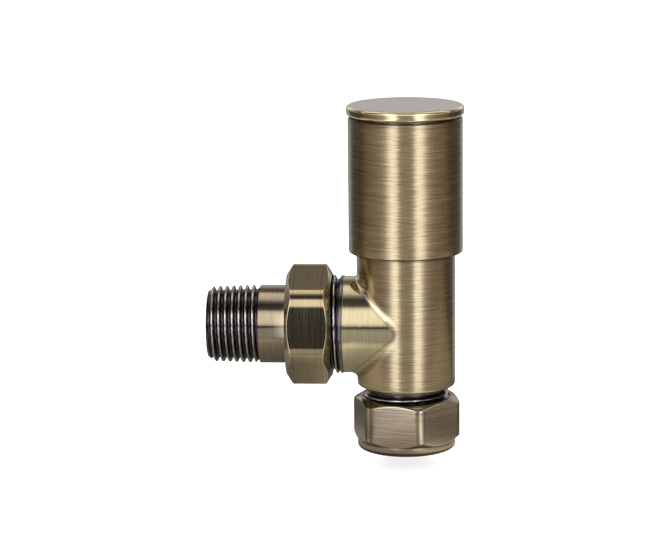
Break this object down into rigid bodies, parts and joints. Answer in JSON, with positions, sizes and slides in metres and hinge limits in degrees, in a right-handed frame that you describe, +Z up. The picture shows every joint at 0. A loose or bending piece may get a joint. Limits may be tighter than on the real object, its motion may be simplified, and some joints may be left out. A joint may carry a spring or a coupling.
{
  "type": "manual radiator valve",
  "caption": "Angled manual radiator valve in antique brass: sleeve handwheel, compression inlet for a pipe below, union outlet with a taper thread tail at the side.",
  "frame": {"origin": "centre of the pipe socket's mouth, at the lower face of the compression nut", "axes": "+Z up along the barrel and handwheel, -X along the outlet towards the radiator"},
  "size_m": [0.0686, 0.0312, 0.0928],
  "materials": {
    "antique_brass": "brushed, darkened",
    "bright_edge_brass": "brushed, polished edge",
    "dark_thread": "dark glossy plating",
    "raw_brass": "machined",
    "black_rubber": "moulded",
    "white_washer": "cut sheet",
    "dark_plastic": "moulded",
    "zinc_steel": "zinc plated"
  },
  "bodies": {
    "valve": {"valve_body": "antique_brass", "bonnet": "raw_brass", "bonnet_o_ring": "black_rubber"},
    "handwheel": {"spindle": "raw_brass", "spindle_o_ring_lower": "black_rubber", "spindle_o_ring_upper": "black_rubber", "thrust_washer": "white_washer", "spindle_circlip": "zinc_steel", "handwheel_insert": "dark_plastic", "handwheel_sleeve": "antique_brass", "spring_washer": "zinc_steel", "handwheel_screw": "zinc_steel", "cap_disc": "bright_edge_brass"},
    "plug": {"valve_plug": "raw_brass", "seat_washer": "black_rubber", "washer_screw": "raw_brass"},
    "tail": {"radiator_tail": "dark_thread", "tail_o_ring": "black_rubber"},
    "union": {"union_nut": "antique_brass"},
    "olive": {"olive": "raw_brass"},
    "pipe_nut": {"compression_nut": "antique_brass"}
  },
  "joints": [
    {"name": "handwheel_turn", "type": "hinge", "parent": "valve", "child": "handwheel", "pos_m": [0, 0, 0.06], "axis": [0, 0, 1], "range_deg": [0, 900]},
    {"name": "plug_lift", "type": "slide", "parent": "valve", "child": "plug", "axis": [0, 0, 1], "range_m": [0, 0.005]},
    {"name": "tail_release", "type": "slide", "parent": "valve", "child": "tail", "axis": [-1, 0, 0], "range_m": [0, 0.00635]},
    {"name": "union_nut_turn", "type": "hinge", "parent": "tail", "child": "union", "pos_m": [-0.026, 0, 0.0335], "axis": [-1, 0, 0], "range_deg": [0, 1260]},
    {"name": "olive_release", "type": "slide", "parent": "valve", "child": "olive", "axis": [0, 0, -1], "range_m": [0, 0.00545]},
    {"name": "compression_nut_turn", "type": "hinge", "parent": "olive", "child": "pipe_nut", "pos_m": [0, 0, 0.007], "axis": [0, 0, -1], "range_deg": [0, 1080]}
  ],
  "couplings": [
    {"joint": "plug_lift", "follows": "handwheel_turn", "m_per_rad": 0.00031831},
    {"joint": "tail_release", "follows": "union_nut_turn", "m_per_rad": 0.00028871},
    {"joint": "olive_release", "follows": "compression_nut_turn", "m_per_rad": 0.00028871}
  ]
}
